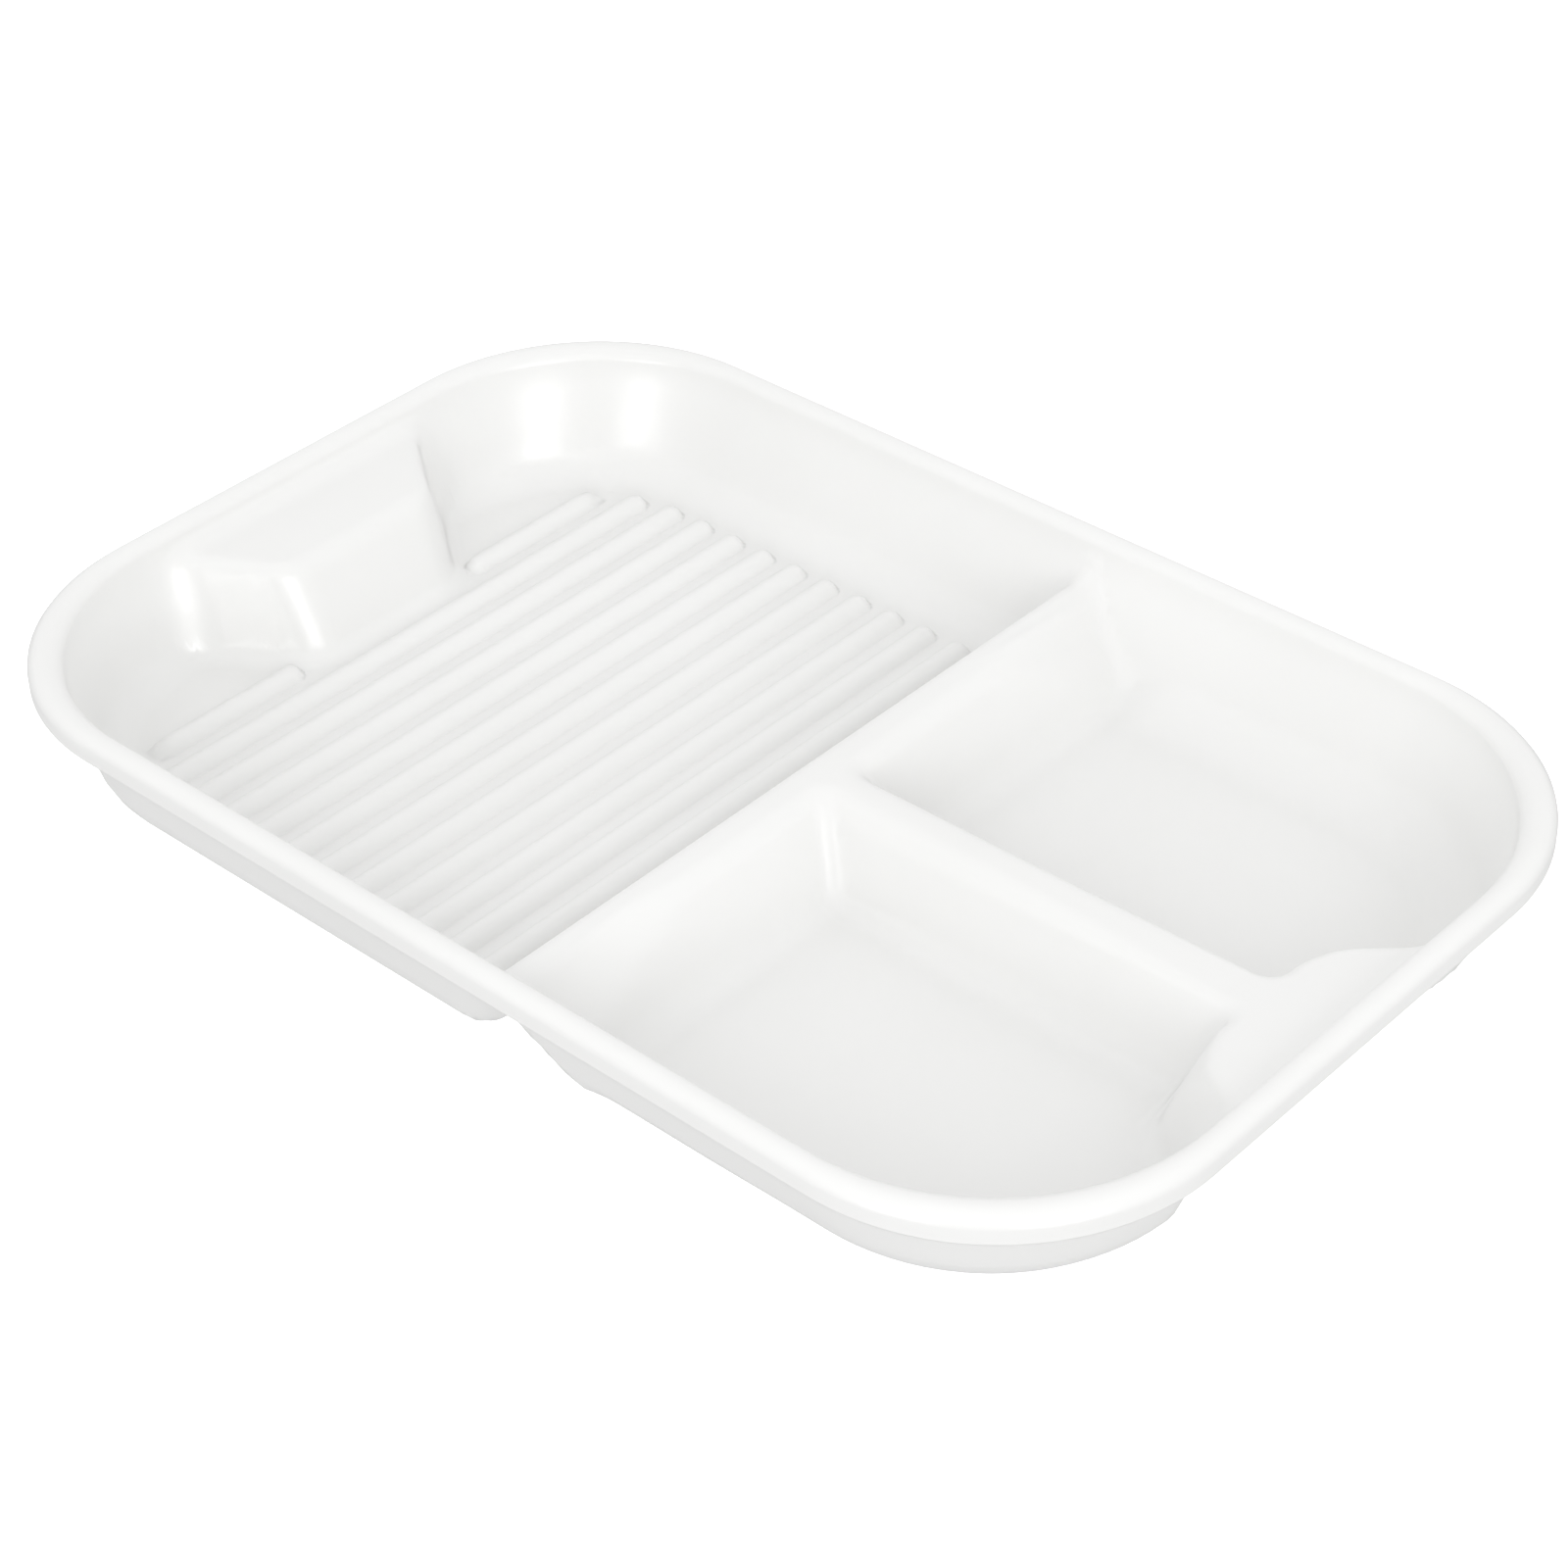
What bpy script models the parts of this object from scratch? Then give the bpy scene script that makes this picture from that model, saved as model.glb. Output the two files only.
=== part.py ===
"""A one-piece moulded roller tray: a ribbed rolling area, two paint wells and a rolled rim.

The tray is one sheet of constant thickness. Its upper surface is worked out from the free
space above it: the space inside the outer wall and over the floor, less the barriers
(cross ridge, divider and the two hand grips) and less the ribs. A grid is laid over the
outline, rolled over at the rim, lowered onto that surface and given its thickness.

Frame: +X along the tray to the paint wells, +Y across it, +Z up, origin under the centre.
"""
import math

import bmesh
import bpy
import numpy as np

# Overall size
LENGTH = 0.400
WIDTH = 0.263
HEIGHT = 0.043
WALL = 0.002
CORNER_RADIUS = 0.068

# Rolled rim: a half-round bead with its outer lip turned down
BEAD_RADIUS = 0.0037
LIP_DROP = 0.0085

# Outer wall and floor
UPPER_DRAFT = math.radians(3.0)
LOWER_DRAFT = math.radians(17.0)
RIBBED_END_DRAFT = math.radians(10.5)
DRAFT_CHANGE_DEPTH = 0.0070
WALL_FILLET_AT_RIBS = 0.009
WALL_FILLET_AT_WELLS = 0.013
WELL_CORNER_FILLET = 0.0045
CORNER_BLEND = 0.010
WALL_FILLET_AT_RIM = 0.0045
WALL_FILLET_FULL_DEPTH = 0.024

# Barriers that stand up from the floor
BARRIER_DEPTH = 0.012
BARRIER_EDGE_RADIUS = 0.0035
WELL_EDGE_RADIUS = 0.0050
BROAD_EDGE_RADIUS = 0.030
BROAD_EDGE_START_Y = 0.060
BROAD_EDGE_FULL_Y = 0.122
BARRIER_FOOT_FILLET = 0.0050
JUNCTION_FILLET = 0.005
RIDGE_X = 0.0204
RIDGE_HALF_TOP = 0.0061
RIDGE_DRAFT = math.radians(21.5)
DIVIDER_HALF_TOP = 0.0064
DIVIDER_SPREAD = 0.012
DIVIDER_DRAFT = math.radians(15.5)

# Hand grips at both ends, open underneath for the fingers
RIBBED_END_GRIP_X = 0.1638
RIBBED_END_GRIP_HALF_FACE = 0.0285
WELL_END_GRIP_X = 0.1665
WELL_END_GRIP_HALF_FACE = 0.0255
GRIP_SIDE_NORMAL = (0.6, 0.8)
RIBBED_END_GRIP_CORNER = 0.006
WELL_END_GRIP_CORNER = 0.009
GRIP_DRAFT = math.radians(21.0)
RIBBED_END_SIDE_DRAFT = math.radians(10.0)
GRIP_TOP_START_X = 0.160
GRIP_TOP_RISE = 0.115

# Ribs of the rolling area
RIB_COUNT = 12
RIB_FIRST_X = -0.1562
RIB_PITCH = 0.0130
RIB_HALF_WIDTH = 0.0038
RIB_HEIGHT = 0.0036
RIB_FOOT_FILLET = 0.0005
RIB_HALF_LENGTH = 0.1016
SECOND_RIB_HALF_LENGTH = 0.0990
SHORT_RIB_OUTER = 0.0905
SHORT_RIB_INNER = 0.0350

# Mesh
BEAD_RINGS = 8
WALL_STEP = 0.0012
FLOOR_STEP = 0.0013
DENSE_ZONE = 0.0240
TARGET_TRIANGLES = 9200
BISECTIONS = 30

HALF_LENGTH = LENGTH / 2
HALF_WIDTH = WIDTH / 2
BEAD_END_OFFSET = BEAD_RADIUS * (1 + math.cos(UPPER_DRAFT))
BEAD_END_DEPTH = BEAD_RADIUS * (1 - math.sin(UPPER_DRAFT))
BEAD_ARC = BEAD_RADIUS * (math.pi - UPPER_DRAFT)
CORNER_ZONE = CORNER_RADIUS + BEAD_END_OFFSET
LIP_LENGTH = LIP_DROP - BEAD_RADIUS
OUTERMOST = BEAD_END_OFFSET - BEAD_ARC - LIP_LENGTH
RIB_RADIUS = (RIB_HALF_WIDTH**2 + RIB_HEIGHT**2) / (2 * RIB_HEIGHT)


def round_min(a, b, radius):
    """Distance into the space common to a and b, with its inner corner rounded."""
    corner = np.hypot(np.maximum(radius - a, 0), np.maximum(radius - b, 0))
    return np.maximum(radius, np.minimum(a, b)) - corner


def round_max(a, b, radius):
    """Distance into the union of a and b, with a fillet where they meet."""
    return -round_min(-a, -b, radius)


def wall_distance(x, y, below_change):
    """Distance inward from the mouth of the tray, moved out where the ribbed end is steeper."""
    steeper_end = np.where(x < 0, math.tan(LOWER_DRAFT) - math.tan(RIBBED_END_DRAFT), 0)
    across = np.abs(x) - (HALF_LENGTH - CORNER_ZONE) - below_change * steeper_end
    along = np.abs(y) - (HALF_WIDTH - CORNER_ZONE)
    outside = np.hypot(np.maximum(across, 0), np.maximum(along, 0))
    return CORNER_RADIUS - outside - np.minimum(np.maximum(across, along), 0)


def wall_space(x, y, depth):
    """Distance inward from the outer wall, steep near the rim and drafted below."""
    upper = (depth - BEAD_END_DEPTH) * math.tan(UPPER_DRAFT)
    below_change = np.maximum(depth - DRAFT_CHANGE_DEPTH, 0)
    lower = below_change * (math.tan(LOWER_DRAFT) - math.tan(UPPER_DRAFT))
    return (wall_distance(x, y, below_change) - upper - lower) * math.cos(LOWER_DRAFT)


def ridge_sides(x, depth):
    half = RIDGE_HALF_TOP + (depth - BARRIER_DEPTH) * math.tan(RIDGE_DRAFT)
    return (half - np.abs(x - RIDGE_X)) * math.cos(RIDGE_DRAFT)


def divider_sides(x, y, depth):
    half = DIVIDER_HALF_TOP + (x - RIDGE_X) * DIVIDER_SPREAD
    half = half + (depth - BARRIER_DEPTH) * math.tan(DIVIDER_DRAFT)
    return np.minimum((half - np.abs(y)) * math.cos(DIVIDER_DRAFT), x - RIDGE_X)


def grip_sides(x, y, depth):
    """Both hand grips: a face across the tray and two slanting sides."""
    nx, ny = GRIP_SIDE_NORMAL
    face_x = np.where(x < 0, RIBBED_END_GRIP_X, WELL_END_GRIP_X)
    half_face = np.where(x < 0, RIBBED_END_GRIP_HALF_FACE, WELL_END_GRIP_HALF_FACE)
    side_draft = np.where(x < 0, RIBBED_END_SIDE_DRAFT, GRIP_DRAFT)
    corner = np.where(x < 0, RIBBED_END_GRIP_CORNER, WELL_END_GRIP_CORNER)
    face = np.abs(x) - face_x + (depth - BARRIER_DEPTH) * math.tan(GRIP_DRAFT)
    side = nx * (np.abs(x) - face_x) - ny * (np.abs(y) - half_face)
    side = side + (depth - BARRIER_DEPTH) * np.tan(side_draft)
    return round_min(face, side, corner) * math.cos(GRIP_DRAFT)


def ramp(value, start, stop):
    """0 before start, 1 after stop, with a smooth rise between them."""
    share = np.clip((value - start) / (stop - start), 0, 1)
    return share * share * (3 - 2 * share)


def near_ridge(x):
    """1 on the well side of the ridge, fading to 0 at its ribbed side and at the far grip."""
    past_ridge = ramp(x, RIDGE_X - RIDGE_HALF_TOP, RIDGE_X + RIDGE_HALF_TOP)
    return past_ridge * (1 - ramp(x, WELL_END_GRIP_X / 2, WELL_END_GRIP_X))


def edge_radius(x, y):
    """Radius of the barriers' top edges: broad where the ridge's well side nears the wall."""
    near_wall = ramp(np.abs(y), BROAD_EDGE_START_Y, BROAD_EDGE_FULL_Y)
    well_side = WELL_EDGE_RADIUS + near_wall * (BROAD_EDGE_RADIUS - WELL_EDGE_RADIUS)
    return BARRIER_EDGE_RADIUS + near_ridge(x) * (well_side - BARRIER_EDGE_RADIUS)


def barrier_distance(x, y, depth):
    """Distance out from the sides of the ridge, divider and grips."""
    sides = round_max(ridge_sides(x, depth), divider_sides(x, y, depth), JUNCTION_FILLET)
    return -round_max(sides, grip_sides(x, y, depth), JUNCTION_FILLET)


def wall_fillet(x, depth, beside):
    """Radius at the foot of the outer wall: smaller near the rim and in corners at the ridge."""
    at_wells = ramp(x, RIDGE_X - RIDGE_HALF_TOP, RIDGE_X + RIDGE_HALF_TOP)
    fillet = WALL_FILLET_AT_RIBS + at_wells * (WALL_FILLET_AT_WELLS - WALL_FILLET_AT_RIBS)
    above_floor = HEIGHT - WALL - depth
    upright = near_ridge(x) * ramp(above_floor - beside, -CORNER_BLEND, CORNER_BLEND)
    fillet = fillet + upright * (WELL_CORNER_FILLET - fillet)
    low_down = ramp(depth, BEAD_END_DEPTH, WALL_FILLET_FULL_DEPTH)
    return WALL_FILLET_AT_RIM + low_down * (fillet - WALL_FILLET_AT_RIM)


def ribs(x, y, z):
    """Distance into the nearest rib, a round bar sunk into the floor with round ends."""
    number = np.clip(np.round((x - RIB_FIRST_X) / RIB_PITCH), 0, RIB_COUNT - 1)
    reach = np.where(number == 1, SECOND_RIB_HALF_LENGTH, RIB_HALF_LENGTH)
    reach = np.where(number == 0, SHORT_RIB_OUTER, reach) - RIB_HALF_WIDTH
    past_end = np.maximum(np.abs(y) - reach, 0)
    before_start = np.maximum(SHORT_RIB_INNER + RIB_HALF_WIDTH - np.abs(y), 0)
    past_end = np.where(number == 0, np.maximum(past_end, before_start), past_end)
    off_axis = x - RIB_FIRST_X - number * RIB_PITCH
    above_axis = z - WALL - RIB_HEIGHT + RIB_RADIUS
    return RIB_RADIUS - np.sqrt(off_axis**2 + past_end**2 + above_axis**2)


def space(x, y, z):
    """Distance into the free space above the tray, negative inside its material."""
    depth = HEIGHT - z
    beside = barrier_distance(x, y, depth)
    above_floor = z - WALL
    over = BARRIER_DEPTH - np.maximum(np.abs(x) - GRIP_TOP_START_X, 0) * GRIP_TOP_RISE - depth
    hollow = round_min(beside, above_floor, BARRIER_FOOT_FILLET)
    hollow = round_max(hollow, over, edge_radius(x, y))
    hollow = round_min(wall_space(x, y, depth), hollow, wall_fillet(x, depth, beside))
    return round_min(hollow, -ribs(x, y, z), RIB_FOOT_FILLET)


def surface_height(x, y):
    """Height where the free space ends, found by halving."""
    low = np.full_like(x, WALL / 2)
    high = np.full_like(x, HEIGHT)
    for _ in range(BISECTIONS):
        middle = (low + high) / 2
        inside = space(x, y, middle) > 0
        high = np.where(inside, middle, high)
        low = np.where(inside, low, middle)
    return (low + high) / 2


def rolled_edge(run):
    """Offset inward and height of the rolled rim at a run measured along its section."""
    turned = np.clip((run - OUTERMOST - LIP_LENGTH) / BEAD_RADIUS, 0, BEAD_ARC / BEAD_RADIUS)
    offset = BEAD_RADIUS * (1 - np.cos(turned)) + np.maximum(run - BEAD_END_OFFSET, 0)
    drop = np.maximum(OUTERMOST + LIP_LENGTH - run, 0)
    height = HEIGHT - BEAD_RADIUS + BEAD_RADIUS * np.sin(turned) - drop
    return offset, height


def steps(start, stop, spacing):
    count = max(1, round(abs(stop - start) / spacing))
    return list(np.linspace(start, stop, count + 1)[:-1])


def grid_lines(half_size, fine_parts):
    """Grid lines across the tray: close together on the rim and walls and over fine_parts."""
    bead_start = OUTERMOST + LIP_LENGTH
    rings = [OUTERMOST]
    rings += steps(bead_start, BEAD_END_OFFSET, BEAD_ARC / BEAD_RINGS)
    rings += steps(BEAD_END_OFFSET, DENSE_ZONE, WALL_STEP)
    rings += steps(DENSE_ZONE, CORNER_ZONE, FLOOR_STEP)
    rings = np.array(rings)
    inner = half_size - CORNER_ZONE
    middle = []
    for start, stop, spacing in fine_parts:
        middle += steps(start * inner, stop * inner, spacing)
    return np.concatenate([rings - half_size, middle, [inner], (half_size - rings)[::-1]])


def lay_over_outline(u, v):
    """Plan position of a grid point: grid lines follow the outline round each corner."""
    run_x = HALF_LENGTH - np.abs(u)
    run_y = HALF_WIDTH - np.abs(v)
    run = np.minimum(run_x, run_y)
    offset, rim_height = rolled_edge(run)
    p = CORNER_ZONE - run_x
    q = CORNER_ZONE - run_y
    x = np.where(p > q, HALF_LENGTH - offset, np.abs(u))
    y = np.where(q > p, HALF_WIDTH - offset, np.abs(v))
    x = np.where(p > 0, x, np.abs(u))
    y = np.where(q > 0, y, np.abs(v))
    in_corner = (p > 0) & (q > 0)
    longer = np.maximum(np.maximum(p, q), 1e-9)
    share = np.maximum(np.minimum(p, q), 0) / longer * math.pi / 4
    angle = np.where(p >= q, share, math.pi / 2 - share)
    radius = CORNER_RADIUS - np.maximum(offset - BEAD_END_OFFSET, 0)
    centre = CORNER_RADIUS + np.minimum(offset, BEAD_END_OFFSET)
    x = np.where(in_corner, HALF_LENGTH - centre + radius * np.cos(angle), x)
    y = np.where(in_corner, HALF_WIDTH - centre + radius * np.sin(angle), y)
    return np.sign(u) * x, np.sign(v) * y, run, rim_height


def tray_sheet():
    """The upper surface of the tray as an open mesh."""
    columns = grid_lines(HALF_LENGTH, [(-1, -0.05, 0.0013), (-0.05, 0.37, 0.0016), (0.37, 1, 0.004)])
    rows = grid_lines(HALF_WIDTH, [(-1, -0.4, 0.003), (-0.4, 0.4, 0.0016), (0.4, 1, 0.003)])
    u, v = np.meshgrid(columns, rows, indexing="ij")
    x, y, run, height = lay_over_outline(u, v)
    inside = run > BEAD_END_OFFSET
    height[inside] = surface_height(x[inside], y[inside])

    bm = bmesh.new()
    bmesh.ops.create_grid(bm, x_segments=len(columns) - 1, y_segments=len(rows) - 1, size=1)
    for vert in bm.verts:
        i = round((vert.co.x + 1) / 2 * (len(columns) - 1))
        j = round((vert.co.y + 1) / 2 * (len(rows) - 1))
        vert.co = (x[i, j], y[i, j], height[i, j])
    mesh = bpy.data.meshes.new("tray")
    bm.to_mesh(mesh)
    bm.free()
    return mesh


def white_plastic():
    material = bpy.data.materials.new("white_plastic")
    material.use_nodes = True
    shader = material.node_tree.nodes["Principled BSDF"]
    shader.inputs["Base Color"].default_value = (0.86, 0.86, 0.84, 1)
    shader.inputs["Roughness"].default_value = 0.22
    shader.inputs["Metallic"].default_value = 0.0
    return material


def build_tray(collection):
    mesh = tray_sheet()
    mesh.materials.append(white_plastic())
    tray = bpy.data.objects.new("tray", mesh)
    collection.objects.link(tray)

    thickness = tray.modifiers.new("thickness", "SOLIDIFY")
    thickness.thickness = WALL
    thickness.offset = -1
    thickness.use_even_offset = False
    thickness.use_quality_normals = True

    mesh.calc_loop_triangles()
    thin_out = tray.modifiers.new("thin_out", "DECIMATE")
    thin_out.ratio = TARGET_TRIANGLES / (2 * len(mesh.loop_triangles))
    mesh.shade_smooth()
    mesh.set_sharp_from_angle(angle=math.radians(40))


def main():
    for leftover in list(bpy.data.objects):
        bpy.data.objects.remove(leftover)
    collection = bpy.data.collections.new("paint_roller_tray")
    bpy.context.scene.collection.children.link(collection)
    build_tray(collection)


main()
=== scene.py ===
"""The looks of a one-piece moulded roller tray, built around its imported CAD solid.

The tray is one closed sheet of even thickness. The height of its upper surface is where the
free space above it ends: the space inside the outer wall and over the floor, less the cross
ridge, the divider and the two hand grips, and less the ribs. A grid is laid over the outline,
rolled over at the rim and lowered onto that surface. The underside lies one wall thickness
below it, and a round edge joins the two along the lip. Overall sizes come from the frame.
"""
import math

import bpy
import numpy as np
from mathutils import Matrix, Vector


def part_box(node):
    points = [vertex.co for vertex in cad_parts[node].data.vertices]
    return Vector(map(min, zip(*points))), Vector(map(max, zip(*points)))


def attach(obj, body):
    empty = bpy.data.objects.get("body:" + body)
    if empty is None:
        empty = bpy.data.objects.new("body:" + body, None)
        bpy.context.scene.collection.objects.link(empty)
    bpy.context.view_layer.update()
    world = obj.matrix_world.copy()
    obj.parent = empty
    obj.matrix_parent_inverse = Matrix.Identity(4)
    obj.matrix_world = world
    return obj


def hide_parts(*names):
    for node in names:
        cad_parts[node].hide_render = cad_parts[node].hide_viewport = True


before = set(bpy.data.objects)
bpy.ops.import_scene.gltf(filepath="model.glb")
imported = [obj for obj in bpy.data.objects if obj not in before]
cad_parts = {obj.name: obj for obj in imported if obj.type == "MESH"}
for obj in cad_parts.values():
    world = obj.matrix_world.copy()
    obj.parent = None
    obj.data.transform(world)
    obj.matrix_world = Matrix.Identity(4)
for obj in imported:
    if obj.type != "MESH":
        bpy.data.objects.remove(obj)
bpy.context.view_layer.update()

node_low, node_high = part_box("tray")

# Overall size, from the frame
LENGTH = node_high.x - node_low.x
WIDTH = node_high.y - node_low.y
HEIGHT = node_high.z
WALL = 0.002
CORNER_RADIUS = 0.068

# Rolled rim: a half-round bead with its outer lip turned down
BEAD_RADIUS = 0.0037
LIP_DROP = 0.0085
EDGE_RADIUS = WALL / 2

# Outer wall and floor
UPPER_DRAFT = math.radians(3.0)
LOWER_DRAFT = math.radians(17.0)
RIBBED_END_DRAFT = math.radians(10.5)
DRAFT_CHANGE_DEPTH = 0.0070
WALL_FILLET_AT_RIBS = 0.009
WALL_FILLET_AT_WELLS = 0.013
WELL_CORNER_FILLET = 0.0045
CORNER_BLEND = 0.010
WALL_FILLET_AT_RIM = 0.0045
WALL_FILLET_FULL_DEPTH = 0.024

# Barriers that stand up from the floor
BARRIER_DEPTH = 0.012
BARRIER_EDGE_RADIUS = 0.0035
WELL_EDGE_RADIUS = 0.0050
BROAD_EDGE_RADIUS = 0.030
BROAD_EDGE_START_Y = 0.060
BROAD_EDGE_FULL_Y = 0.122
BARRIER_FOOT_FILLET = 0.0050
JUNCTION_FILLET = 0.005
RIDGE_X = 0.0204
RIDGE_HALF_TOP = 0.0061
RIDGE_DRAFT = math.radians(21.5)
DIVIDER_HALF_TOP = 0.0064
DIVIDER_SPREAD = 0.012
DIVIDER_DRAFT = math.radians(15.5)

# Hand grips at both ends, open underneath for the fingers
RIBBED_END_GRIP_X = 0.1638
RIBBED_END_GRIP_HALF_FACE = 0.0285
WELL_END_GRIP_X = 0.1665
WELL_END_GRIP_HALF_FACE = 0.0255
GRIP_SIDE_NORMAL = (0.6, 0.8)
RIBBED_END_GRIP_CORNER = 0.006
WELL_END_GRIP_CORNER = 0.009
GRIP_DRAFT = math.radians(21.0)
RIBBED_END_SIDE_DRAFT = math.radians(10.0)
GRIP_TOP_START_X = 0.160
GRIP_TOP_RISE = 0.115

# Ribs of the rolling area
RIB_COUNT = 12
RIB_FIRST_X = -0.1562
RIB_PITCH = 0.0130
RIB_HALF_WIDTH = 0.0038
RIB_HEIGHT = 0.0036
RIB_FOOT_FILLET = 0.0005
RIB_HALF_LENGTH = 0.1016
SECOND_RIB_HALF_LENGTH = 0.0990
SHORT_RIB_OUTER = 0.0905
SHORT_RIB_INNER = 0.0350

# Mesh: grid lines by their run in from the lip's edge, and the spacing between them
BEAD_RINGS = 9
EDGE_RINGS = 4
ROUND_RUN = 0.0240
RIB_END_RUN = 0.0290
RIB_END_STOP = 0.0365
WALL_STEP = 0.00135
FLOOR_STEP = 0.0013
RIB_END_STEP = 0.0007
RIB_LINES = (
    -0.0043, -0.0038, -0.0032, -0.0025, -0.0014,
    0, 0.0016, 0.0029, 0.0038, 0.0043, RIB_PITCH / 2,
)
RIDGE_STEP = 0.0022
WELL_STEP = 0.0040
SIDE_STEP = 0.0040
GRIP_SIDE_STEP = 0.0011
DIVIDER_STEP = 0.0022
RIDGE_ZONE_END = 0.046
GRIP_ZONE = 0.058
DIVIDER_ZONE = 0.022
EVEN_SHARE = 0.6
BISECTIONS = 34
NORMAL_REACH = 0.00002

HALF_LENGTH = LENGTH / 2
HALF_WIDTH = WIDTH / 2
BEAD_END_OFFSET = BEAD_RADIUS * (1 + math.cos(UPPER_DRAFT))
BEAD_END_DEPTH = BEAD_RADIUS * (1 - math.sin(UPPER_DRAFT))
BEAD_ARC = BEAD_RADIUS * (math.pi - UPPER_DRAFT)
CORNER_ZONE = CORNER_RADIUS + BEAD_END_OFFSET
LIP_LENGTH = LIP_DROP - BEAD_RADIUS - EDGE_RADIUS
OUTERMOST = BEAD_END_OFFSET - BEAD_ARC - LIP_LENGTH
SQUARE_RUN = HALF_LENGTH + RIB_FIRST_X + RIB_LINES[0]
RIB_RADIUS = (RIB_HALF_WIDTH**2 + RIB_HEIGHT**2) / (2 * RIB_HEIGHT)


def round_min(a, b, radius):
    """Distance into the space common to a and b, with its inner corner rounded."""
    corner = np.hypot(np.maximum(radius - a, 0), np.maximum(radius - b, 0))
    return np.maximum(radius, np.minimum(a, b)) - corner


def round_max(a, b, radius):
    """Distance into the union of a and b, with a fillet where they meet."""
    return -round_min(-a, -b, radius)


def ramp(value, start, stop):
    """0 before start, 1 after stop, with a smooth rise between them."""
    share = np.clip((value - start) / (stop - start), 0, 1)
    return share * share * (3 - 2 * share)


def wall_distance(x, y, below_change):
    """Distance inward from the mouth of the tray, moved out where the ribbed end is steeper."""
    steeper_end = np.where(x < 0, math.tan(LOWER_DRAFT) - math.tan(RIBBED_END_DRAFT), 0)
    across = np.abs(x) - (HALF_LENGTH - CORNER_ZONE) - below_change * steeper_end
    along = np.abs(y) - (HALF_WIDTH - CORNER_ZONE)
    outside = np.hypot(np.maximum(across, 0), np.maximum(along, 0))
    return CORNER_RADIUS - outside - np.minimum(np.maximum(across, along), 0)


def wall_space(x, y, depth):
    """Distance inward from the outer wall, steep near the rim and drafted below."""
    upper = (depth - BEAD_END_DEPTH) * math.tan(UPPER_DRAFT)
    below_change = np.maximum(depth - DRAFT_CHANGE_DEPTH, 0)
    lower = below_change * (math.tan(LOWER_DRAFT) - math.tan(UPPER_DRAFT))
    return (wall_distance(x, y, below_change) - upper - lower) * math.cos(LOWER_DRAFT)


def ridge_sides(x, depth):
    half = RIDGE_HALF_TOP + (depth - BARRIER_DEPTH) * math.tan(RIDGE_DRAFT)
    return (half - np.abs(x - RIDGE_X)) * math.cos(RIDGE_DRAFT)


def divider_sides(x, y, depth):
    half = DIVIDER_HALF_TOP + (x - RIDGE_X) * DIVIDER_SPREAD
    half = half + (depth - BARRIER_DEPTH) * math.tan(DIVIDER_DRAFT)
    return np.minimum((half - np.abs(y)) * math.cos(DIVIDER_DRAFT), x - RIDGE_X)


def grip_sides(x, y, depth):
    """Both hand grips: a face across the tray and two slanting sides."""
    nx, ny = GRIP_SIDE_NORMAL
    face_x = np.where(x < 0, RIBBED_END_GRIP_X, WELL_END_GRIP_X)
    half_face = np.where(x < 0, RIBBED_END_GRIP_HALF_FACE, WELL_END_GRIP_HALF_FACE)
    side_draft = np.where(x < 0, RIBBED_END_SIDE_DRAFT, GRIP_DRAFT)
    corner = np.where(x < 0, RIBBED_END_GRIP_CORNER, WELL_END_GRIP_CORNER)
    face = np.abs(x) - face_x + (depth - BARRIER_DEPTH) * math.tan(GRIP_DRAFT)
    side = nx * (np.abs(x) - face_x) - ny * (np.abs(y) - half_face)
    side = side + (depth - BARRIER_DEPTH) * np.tan(side_draft)
    return round_min(face, side, corner) * math.cos(GRIP_DRAFT)


def near_ridge(x):
    """1 on the well side of the ridge, fading to 0 at its ribbed side and at the far grip."""
    past_ridge = ramp(x, RIDGE_X - RIDGE_HALF_TOP, RIDGE_X + RIDGE_HALF_TOP)
    return past_ridge * (1 - ramp(x, WELL_END_GRIP_X / 2, WELL_END_GRIP_X))


def edge_radius(x, y):
    """Radius of the barriers' top edges: broad where the ridge's well side nears the wall."""
    near_wall = ramp(np.abs(y), BROAD_EDGE_START_Y, BROAD_EDGE_FULL_Y)
    well_side = WELL_EDGE_RADIUS + near_wall * (BROAD_EDGE_RADIUS - WELL_EDGE_RADIUS)
    return BARRIER_EDGE_RADIUS + near_ridge(x) * (well_side - BARRIER_EDGE_RADIUS)


def barrier_distance(x, y, depth):
    """Distance out from the sides of the ridge, divider and grips."""
    sides = round_max(ridge_sides(x, depth), divider_sides(x, y, depth), JUNCTION_FILLET)
    return -round_max(sides, grip_sides(x, y, depth), JUNCTION_FILLET)


def wall_fillet(x, depth, beside):
    """Radius at the foot of the outer wall: smaller near the rim and in corners at the ridge."""
    at_wells = ramp(x, RIDGE_X - RIDGE_HALF_TOP, RIDGE_X + RIDGE_HALF_TOP)
    fillet = WALL_FILLET_AT_RIBS + at_wells * (WALL_FILLET_AT_WELLS - WALL_FILLET_AT_RIBS)
    above_floor = HEIGHT - WALL - depth
    upright = near_ridge(x) * ramp(above_floor - beside, -CORNER_BLEND, CORNER_BLEND)
    fillet = fillet + upright * (WELL_CORNER_FILLET - fillet)
    low_down = ramp(depth, BEAD_END_DEPTH, WALL_FILLET_FULL_DEPTH)
    return WALL_FILLET_AT_RIM + low_down * (fillet - WALL_FILLET_AT_RIM)


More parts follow.
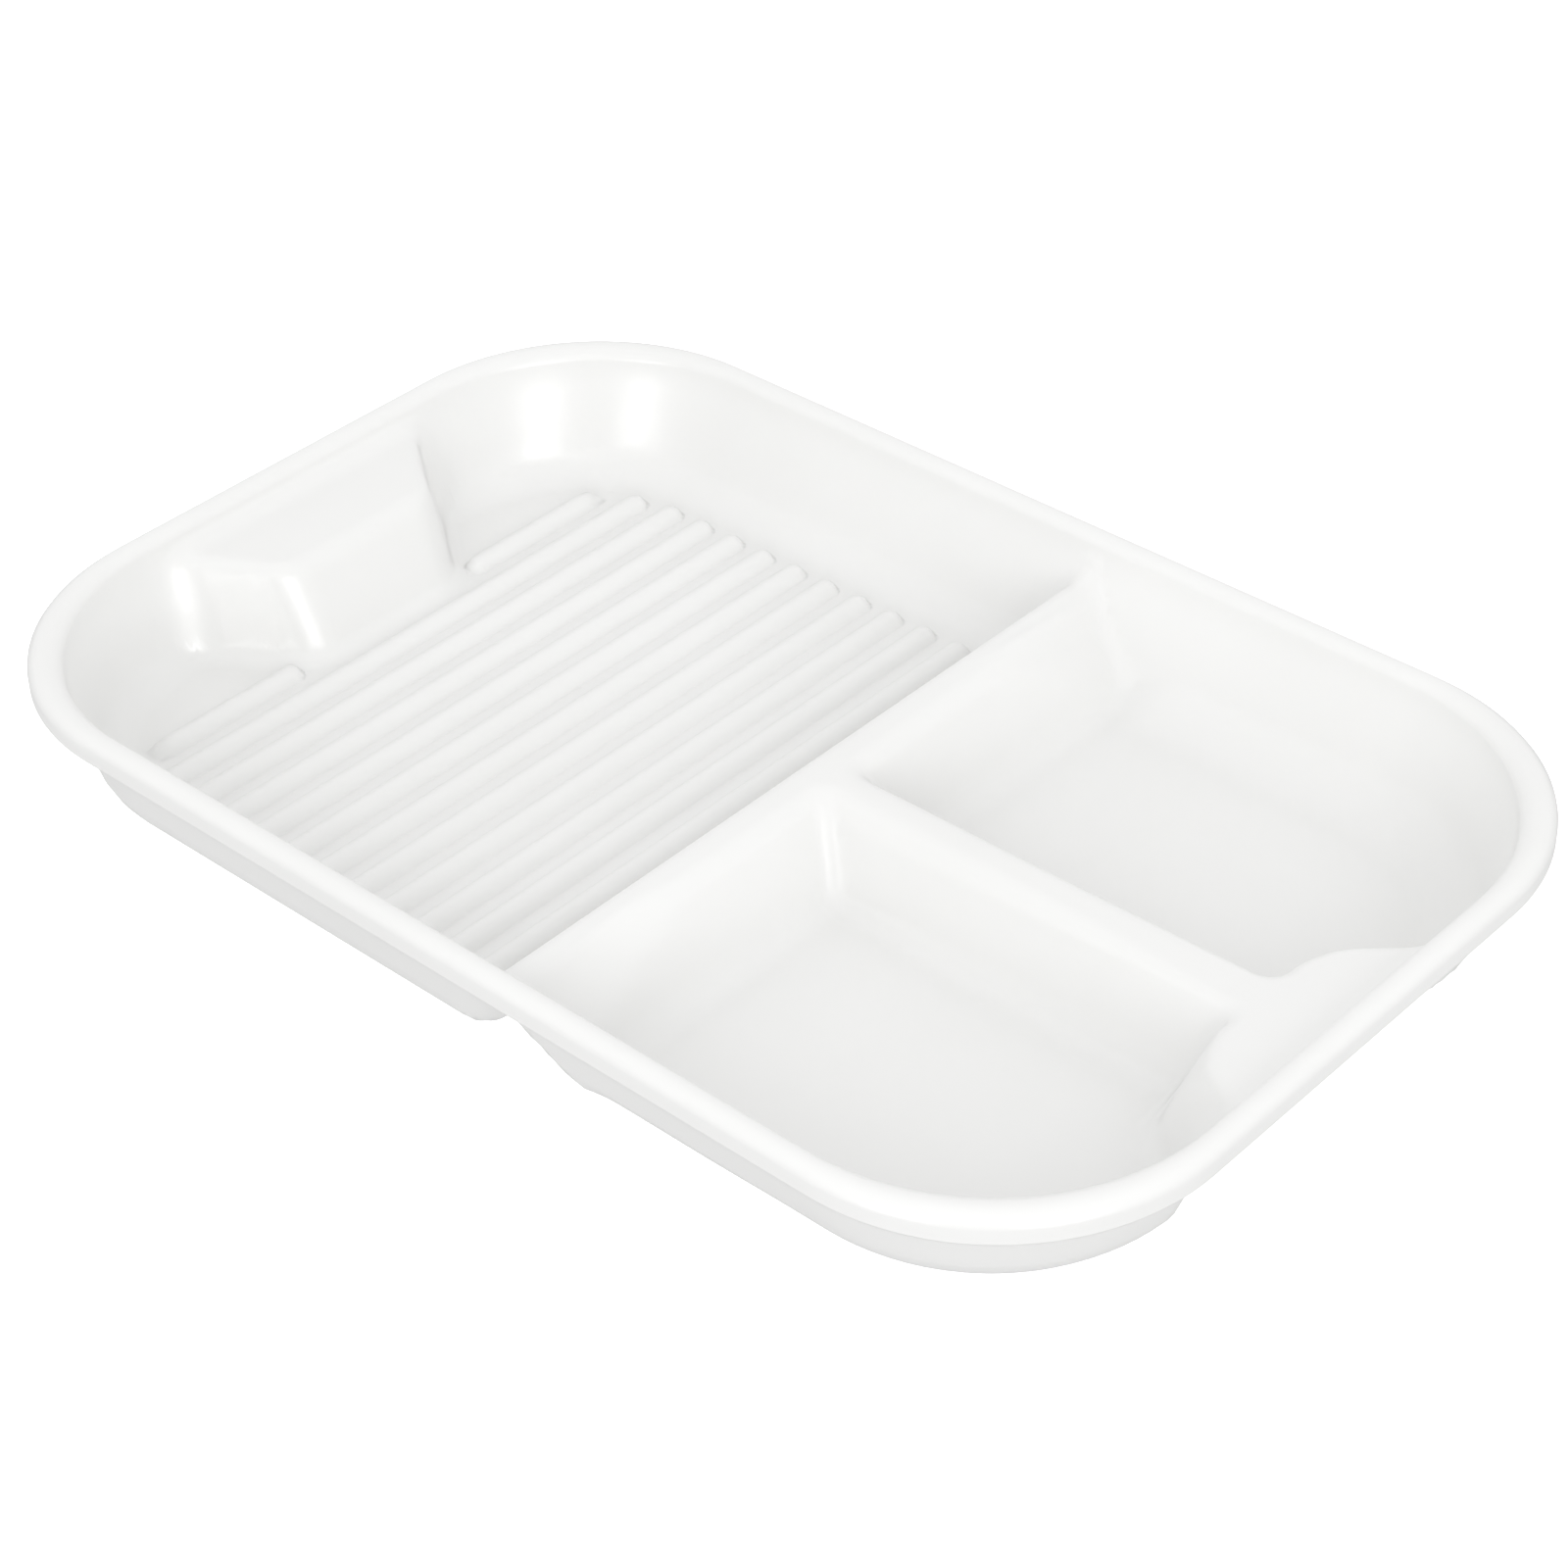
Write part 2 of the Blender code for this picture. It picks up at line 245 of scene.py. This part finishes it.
def ribs(x, y, z):
    """Distance into the nearest rib, a round bar sunk into the floor with round ends."""
    number = np.clip(np.round((x - RIB_FIRST_X) / RIB_PITCH), 0, RIB_COUNT - 1)
    reach = np.where(number == 1, SECOND_RIB_HALF_LENGTH, RIB_HALF_LENGTH)
    reach = np.where(number == 0, SHORT_RIB_OUTER, reach) - RIB_HALF_WIDTH
    past_end = np.maximum(np.abs(y) - reach, 0)
    before_start = np.maximum(SHORT_RIB_INNER + RIB_HALF_WIDTH - np.abs(y), 0)
    past_end = np.where(number == 0, np.maximum(past_end, before_start), past_end)
    off_axis = x - RIB_FIRST_X - number * RIB_PITCH
    above_axis = z - WALL - RIB_HEIGHT + RIB_RADIUS
    return RIB_RADIUS - np.sqrt(off_axis**2 + past_end**2 + above_axis**2)


def space(x, y, z):
    """Distance into the free space above the tray, negative inside its material."""
    depth = HEIGHT - z
    beside = barrier_distance(x, y, depth)
    above_floor = z - WALL
    over = BARRIER_DEPTH - np.maximum(np.abs(x) - GRIP_TOP_START_X, 0) * GRIP_TOP_RISE - depth
    hollow = round_min(beside, above_floor, BARRIER_FOOT_FILLET)
    hollow = round_max(hollow, over, edge_radius(x, y))
    hollow = round_min(wall_space(x, y, depth), hollow, wall_fillet(x, depth, beside))
    return round_min(hollow, -ribs(x, y, z), RIB_FOOT_FILLET)


def surface_height(x, y):
    """Height where the free space ends, found by halving."""
    low = np.full_like(x, WALL / 2)
    high = np.full_like(x, HEIGHT)
    for _ in range(BISECTIONS):
        middle = (low + high) / 2
        inside = space(x, y, middle) > 0
        high = np.where(inside, middle, high)
        low = np.where(inside, low, middle)
    return (low + high) / 2


def surface_normal(x, y, z):
    """Direction in which the free space opens fastest, from small steps along each axis."""
    step = NORMAL_REACH
    along_x = space(x + step, y, z) - space(x - step, y, z)
    along_y = space(x, y + step, z) - space(x, y - step, z)
    along_z = space(x, y, z + step) - space(x, y, z - step)
    normal = np.stack([along_x, along_y, along_z], axis=-1)
    return normal / np.linalg.norm(normal, axis=-1, keepdims=True)


def rolled_edge(run):
    """Offset inward, height and turn of the rolled rim at a run measured along its section."""
    turned = np.clip((run - OUTERMOST - LIP_LENGTH) / BEAD_RADIUS, 0, BEAD_ARC / BEAD_RADIUS)
    offset = BEAD_RADIUS * (1 - np.cos(turned)) + np.maximum(run - BEAD_END_OFFSET, 0)
    drop = np.maximum(OUTERMOST + LIP_LENGTH - run, 0)
    height = HEIGHT - BEAD_RADIUS + BEAD_RADIUS * np.sin(turned) - drop
    return offset, height, turned


def steps(start, stop, spacing):
    count = max(1, round(abs(stop - start) / spacing))
    return list(np.linspace(start, stop, count + 1)[:-1])


def rib_lines():
    """Places of the grid lines across every rib, from the middle gap on to the next one."""
    return [RIB_FIRST_X + number * RIB_PITCH + line for number in range(RIB_COUNT) for line in RIB_LINES]


def rings():
    """Runs of the grid lines that follow the outline, denser on the rim, walls and rib ends."""
    runs = [OUTERMOST]
    runs += steps(OUTERMOST + LIP_LENGTH, BEAD_END_OFFSET, BEAD_ARC / BEAD_RINGS)
    runs += steps(BEAD_END_OFFSET, ROUND_RUN, WALL_STEP)
    runs += steps(ROUND_RUN, RIB_END_RUN, FLOOR_STEP)
    runs += steps(RIB_END_RUN, RIB_END_STOP, RIB_END_STEP)
    return np.array(runs + steps(RIB_END_STOP, SQUARE_RUN, FLOOR_STEP))


def grid_lines(half_size, middle):
    """All grid lines one way: rings along both sides and the middle lines between them."""
    runs = rings()
    inner = half_size - SQUARE_RUN
    return np.concatenate([runs - half_size, [-inner], middle, [inner], (half_size - runs)[::-1]])


def columns():
    middle = rib_lines()[1:]
    middle += steps(middle[-1] + RIDGE_STEP, RIDGE_ZONE_END, RIDGE_STEP)
    middle += steps(RIDGE_ZONE_END, HALF_LENGTH - SQUARE_RUN, WELL_STEP)
    return grid_lines(HALF_LENGTH, middle)


def rows():
    side = steps(HALF_WIDTH - SQUARE_RUN, GRIP_ZONE, SIDE_STEP)[1:]
    side += steps(GRIP_ZONE, DIVIDER_ZONE, GRIP_SIDE_STEP)
    middle = [-line for line in side]
    middle += steps(-DIVIDER_ZONE, DIVIDER_ZONE, DIVIDER_STEP)
    middle += [DIVIDER_ZONE] + side[::-1]
    return grid_lines(HALF_WIDTH, middle)


def squareness(run):
    """0 where the grid follows the outline's round corners, rising to 1 where it is square."""
    share = np.clip((run - ROUND_RUN) / (SQUARE_RUN - ROUND_RUN), 0, 1)
    across_corner = CORNER_ZONE - ROUND_RUN
    across_corner += share * ((CORNER_ZONE - SQUARE_RUN) * math.sqrt(2) - across_corner)
    excess = across_corner / np.maximum(CORNER_ZONE - run, 1e-9) - 1
    return np.where(run < ROUND_RUN, 0, np.clip(excess / (math.sqrt(2) - 1), 0, 1))


def lay_over_outline(u, v):
    """Plan place and outward direction of a grid point: grid lines follow the outline."""
    run_x = HALF_LENGTH - np.abs(u)
    run_y = HALF_WIDTH - np.abs(v)
    run = np.minimum(run_x, run_y)
    offset, rim_height, turned = rolled_edge(run)
    p = CORNER_ZONE - run_x
    q = CORNER_ZONE - run_y
    longer = np.maximum(np.maximum(p, q), 1e-9)
    share = np.maximum(np.minimum(p, q), 0) / longer
    last_even = math.asin(EVEN_SHARE)
    crowded = last_even + (math.pi / 4 - last_even) * (share - EVEN_SHARE) / (1 - EVEN_SHARE)
    angle = np.where(share < EVEN_SHARE, np.arcsin(np.minimum(share, EVEN_SHARE)), crowded)
    angle = np.where(p >= q, angle, math.pi / 2 - angle)
    in_corner = (p > 0) & (q > 0)
    radius = CORNER_RADIUS - np.maximum(offset - BEAD_END_OFFSET, 0)
    centre = CORNER_RADIUS + np.minimum(offset, BEAD_END_OFFSET)
    x = np.where((p > 0) & (p > q), HALF_LENGTH - offset, np.abs(u))
    y = np.where((q > 0) & (q > p), HALF_WIDTH - offset, np.abs(v))
    square = squareness(run)
    round_x = HALF_LENGTH - centre + radius * np.cos(angle)
    round_y = HALF_WIDTH - centre + radius * np.sin(angle)
    x = np.where(in_corner, round_x + square * (np.abs(u) - round_x), x)
    y = np.where(in_corner, round_y + square * (np.abs(v) - round_y), y)
    out_x = np.sign(u) * np.cos(angle)
    out_y = np.sign(v) * np.sin(angle)
    return np.sign(u) * x, np.sign(v) * y, out_x, out_y, run, rim_height, turned


def sheet_points():
    """Points and normals of the upper surface, on a grid of columns and rows."""
    u, v = np.meshgrid(columns(), rows(), indexing="ij")
    x, y, out_x, out_y, run, z, turned = lay_over_outline(u, v)
    normal = np.stack([out_x * np.cos(turned), out_y * np.cos(turned), np.sin(turned)], axis=-1)
    inside = run > BEAD_END_OFFSET + NORMAL_REACH
    z[inside] = surface_height(x[inside], y[inside])
    normal[inside] = surface_normal(x[inside], y[inside], z[inside])
    return np.stack([x, y, z], axis=-1), normal


def edge_loop(across, along):
    """Numbers of the grid's outer points in order, seen from above anticlockwise."""
    number = np.arange(across * along).reshape(across, along)
    near = number[:-1, 0]
    right = number[-1, :-1]
    far = number[:0:-1, -1]
    left = number[0, :0:-1]
    return np.concatenate([near, right, far, left])


def grid_faces(across, along):
    number = np.arange(across * along).reshape(across, along)
    corners = [number[:-1, :-1], number[1:, :-1], number[1:, 1:], number[:-1, 1:]]
    return np.stack([corner.ravel() for corner in corners], axis=-1)


def tray_mesh():
    """The closed sheet, with the exact normals of its surfaces."""
    upper, normal = sheet_points()
    across, along = upper.shape[:2]
    upper = upper.reshape(-1, 3)
    normal = normal.reshape(-1, 3)
    under = upper - normal * WALL
    under[:, 2] = np.maximum(under[:, 2], 0)
    loop = edge_loop(across, along)
    points = [upper, under]
    normals = [normal, -normal]
    edge_rows = [loop]
    middle = upper[loop] - normal[loop] * EDGE_RADIUS
    first = 2 * len(upper)
    for ring in range(1, EDGE_RINGS):
        turn = math.pi * ring / EDGE_RINGS
        direction = normal[loop] * math.cos(turn) - np.array([0, 0, math.sin(turn)])
        points.append(middle + direction * EDGE_RADIUS)
        normals.append(direction)
        edge_rows.append(first + np.arange(len(loop)))
        first += len(loop)
    edge_rows.append(loop + len(upper))
    top_faces = grid_faces(across, along)
    faces = [top_faces, top_faces[:, ::-1] + len(upper)]
    for one, other in zip(edge_rows, edge_rows[1:]):
        faces.append(np.stack([one, other, np.roll(other, -1), np.roll(one, -1)], axis=-1))
    mesh = bpy.data.meshes.new("tray_moulding")
    mesh.from_pydata(np.concatenate(points), [], np.concatenate(faces))
    mesh.update()
    mesh.shade_smooth()
    mesh.normals_split_custom_set_from_vertices(np.concatenate(normals))
    return mesh


PLASTIC_IOR = 1.49

# Colour drift: noise and the colours at its low and high values
DRIFT_SCALE = 9.0
DRIFT_DETAIL = 3.0
DRIFT_LOW = (0.3, (0.845, 0.845, 0.835, 1))
DRIFT_HIGH = (0.7, (0.870, 0.870, 0.862, 1))

# Uneven gloss: noise, its range and the roughness at both ends
GLOSS_SCALE = 60.0
GLOSS_DETAIL = 2.0
GLOSS_NOISE = (0.3, 0.7)
GLOSS_ROUGHNESS = (0.285, 0.335)

# Orange peel
PEEL_SCALE = 420.0
PEEL_DETAIL = 2.0
PEEL_STRENGTH = 0.08
PEEL_DEPTH = 0.0004


def noise(nodes, scale, detail):
    texture = nodes.new("ShaderNodeTexNoise")
    texture.inputs["Scale"].default_value = scale
    texture.inputs["Detail"].default_value = detail
    return texture


def white_plastic():
    """Glossy moulded plastic: faint colour drift, uneven gloss and orange peel."""
    material = bpy.data.materials.new("white_plastic")
    material.use_nodes = True
    nodes = material.node_tree.nodes
    links = material.node_tree.links
    shader = nodes["Principled BSDF"]
    shader.inputs["Metallic"].default_value = 0.0
    shader.inputs["IOR"].default_value = PLASTIC_IOR
    place = nodes.new("ShaderNodeTexCoord")

    drift = noise(nodes, DRIFT_SCALE, DRIFT_DETAIL)
    tint = nodes.new("ShaderNodeValToRGB")
    for element, (position, color) in zip(tint.color_ramp.elements, (DRIFT_LOW, DRIFT_HIGH)):
        element.position = position
        element.color = color
    links.new(place.outputs["Object"], drift.inputs["Vector"])
    links.new(drift.outputs["Fac"], tint.inputs["Fac"])
    links.new(tint.outputs["Color"], shader.inputs["Base Color"])

    scuffs = noise(nodes, GLOSS_SCALE, GLOSS_DETAIL)
    gloss = nodes.new("ShaderNodeMapRange")
    gloss.inputs["From Min"].default_value = GLOSS_NOISE[0]
    gloss.inputs["From Max"].default_value = GLOSS_NOISE[1]
    gloss.inputs["To Min"].default_value = GLOSS_ROUGHNESS[0]
    gloss.inputs["To Max"].default_value = GLOSS_ROUGHNESS[1]
    links.new(place.outputs["Object"], scuffs.inputs["Vector"])
    links.new(scuffs.outputs["Fac"], gloss.inputs["Value"])
    links.new(gloss.outputs["Result"], shader.inputs["Roughness"])

    peel = noise(nodes, PEEL_SCALE, PEEL_DETAIL)
    bump = nodes.new("ShaderNodeBump")
    bump.inputs["Strength"].default_value = PEEL_STRENGTH
    bump.inputs["Distance"].default_value = PEEL_DEPTH
    links.new(place.outputs["Object"], peel.inputs["Vector"])
    links.new(peel.outputs["Fac"], bump.inputs["Height"])
    links.new(bump.outputs["Normal"], shader.inputs["Normal"])
    return material


def build_tray():
    mesh = tray_mesh()
    mesh.materials.append(white_plastic())
    tray = bpy.data.objects.new("tray_moulding", mesh)
    bpy.context.scene.collection.objects.link(tray)
    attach(tray, "root")
    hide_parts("tray")


# Camera: turned about the tray from -Y towards +X, raised, and tilted a little to one side
CAMERA_AZIMUTH = math.radians(42.88)
CAMERA_ELEVATION = math.radians(36.85)
CAMERA_ROLL = math.radians(-1.52)
CAMERA_DISTANCE = 0.9616
CAMERA_TARGET = Vector((0.0280, -0.0233, HEIGHT))
CAMERA_LENS = 83.29
CAMERA_SENSOR = 36.0


def direction_to(azimuth, elevation):
    """Unit vector towards a place seen from the tray, azimuth from -Y towards +X."""
    flat = math.cos(elevation)
    return Vector((math.sin(azimuth) * flat, -math.cos(azimuth) * flat, math.sin(elevation)))


def camera():
    data = bpy.data.cameras.new("camera")
    data.sensor_width = CAMERA_SENSOR
    data.lens = CAMERA_LENS
    item = bpy.data.objects.new("camera", data)
    bpy.context.scene.collection.objects.link(item)
    back = direction_to(CAMERA_AZIMUTH, CAMERA_ELEVATION)
    level = Vector((0, 0, 1)).cross(back).normalized()
    upright = back.cross(level)
    right = level * math.cos(CAMERA_ROLL) + upright * math.sin(CAMERA_ROLL)
    up = upright * math.cos(CAMERA_ROLL) - level * math.sin(CAMERA_ROLL)
    turn = Matrix((right, up, back)).transposed().to_4x4()
    item.matrix_world = Matrix.Translation(CAMERA_TARGET + back * CAMERA_DISTANCE) @ turn
    bpy.context.scene.camera = item


FLOOR_SIZE = 8.0
FLOOR_GAP = 0.0002
FLOOR_GREY = 0.9
FLOOR_ROUGHNESS = 0.7
FLOOR_GLOW = 1.0


def studio_floor():
    """A plain white floor that the lamps and the tray leave without a mark."""
    material = bpy.data.materials.new("studio_floor")
    material.use_nodes = True
    shader = material.node_tree.nodes["Principled BSDF"]
    shader.inputs["Base Color"].default_value = (FLOOR_GREY, FLOOR_GREY, FLOOR_GREY, 1)
    shader.inputs["Roughness"].default_value = FLOOR_ROUGHNESS
    shader.inputs["Emission Color"].default_value = (1, 1, 1, 1)
    shader.inputs["Emission Strength"].default_value = FLOOR_GLOW
    bpy.ops.mesh.primitive_plane_add(size=FLOOR_SIZE, location=(0, 0, -FLOOR_GAP))
    floor = bpy.context.object
    floor.name = "studio_floor"
    floor.data.materials.append(material)
    floor.visible_diffuse = False
    floor.visible_glossy = False
    floor.visible_shadow = False


# Brightness of the surroundings from straight below (0) to straight above (1)
SURROUNDINGS = ((0.0, 0.60), (0.46, 0.66), (0.54, 1.00), (0.75, 0.89), (1.0, 0.83))
SURROUNDINGS_STRENGTH = 1.11


def studio_world():
    """Even white surroundings, darker below the horizon."""
    world = bpy.data.worlds.new("studio")
    bpy.context.scene.world = world
    world.use_nodes = True
    nodes = world.node_tree.nodes
    links = world.node_tree.links
    place = nodes.new("ShaderNodeTexCoord")
    parts = nodes.new("ShaderNodeSeparateXYZ")
    height = nodes.new("ShaderNodeMapRange")
    height.inputs["From Min"].default_value = -1.0
    level = nodes.new("ShaderNodeValToRGB")
    for place_up, grey in SURROUNDINGS[1:-1]:
        level.color_ramp.elements.new(place_up)
    for element, (place_up, grey) in zip(level.color_ramp.elements, SURROUNDINGS):
        element.position = place_up
        element.color = (grey, grey, grey, 1)
    links.new(place.outputs["Generated"], parts.inputs["Vector"])
    links.new(parts.outputs["Z"], height.inputs["Value"])
    links.new(height.outputs["Result"], level.inputs["Fac"])
    links.new(level.outputs["Color"], nodes["Background"].inputs["Color"])
    nodes["Background"].inputs["Strength"].default_value = SURROUNDINGS_STRENGTH


SOFTBOX_DISTANCE = 2.0


def softbox(name, azimuth, elevation, width, height, power):
    """An area light facing the middle of the tray."""
    data = bpy.data.lights.new(name, "AREA")
    data.shape = "RECTANGLE"
    data.size = width
    data.size_y = height
    data.energy = power
    item = bpy.data.objects.new(name, data)
    bpy.context.scene.collection.objects.link(item)
    towards = direction_to(math.radians(azimuth), math.radians(elevation))
    item.location = towards * SOFTBOX_DISTANCE
    item.rotation_euler = towards.to_track_quat("Z", "Y").to_euler()
    return item


def studio_lights():
    """A broad front light without gloss, and two low ones that are seen only as gloss."""
    front = softbox("front_softbox", azimuth=43, elevation=25, width=1.5, height=1.0, power=9)
    front.visible_glossy = False
    right = softbox("right_softbox", azimuth=65, elevation=0, width=0.60, height=0.70, power=15)
    left = softbox("left_softbox", azimuth=10, elevation=-4, width=0.56, height=0.40, power=8)
    for item in (right, left):
        item.data.use_shadow = False
        item.visible_diffuse = False


build_tray()
camera()
studio_floor()
studio_world()
studio_lights()
bpy.context.scene.view_settings.view_transform = "Standard"
